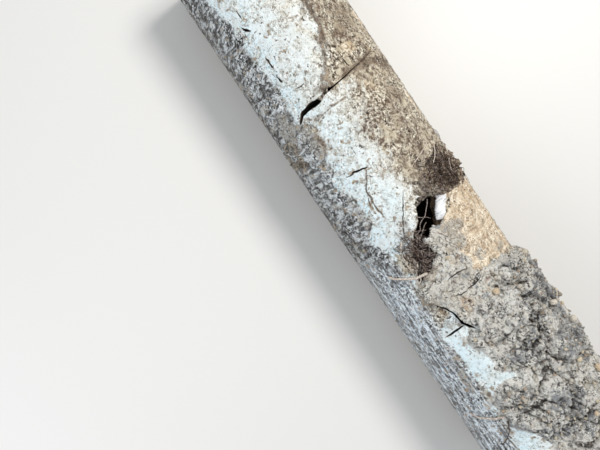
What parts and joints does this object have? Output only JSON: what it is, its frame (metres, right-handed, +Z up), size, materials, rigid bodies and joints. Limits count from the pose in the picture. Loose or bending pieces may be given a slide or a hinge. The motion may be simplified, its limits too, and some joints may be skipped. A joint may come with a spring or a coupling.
{
  "type": "clay drain pipe",
  "caption": "Plain-ended fired-clay drain pipe, dug up cracked across the crown and broken through beside it.",
  "frame": {"origin": "on the floor, below the middle of the pipe's axis", "axes": "+X along the bore towards the end beyond the hole, +Z up through the crown as it lies in the picture"},
  "size_m": [0.61, 0.13, 0.13],
  "materials": {
    "fired_clay": "matt, lime-bleached and soil-stained"
  },
  "bodies": {
    "root": {"pipe": "fired_clay"}
  },
  "joints": []
}
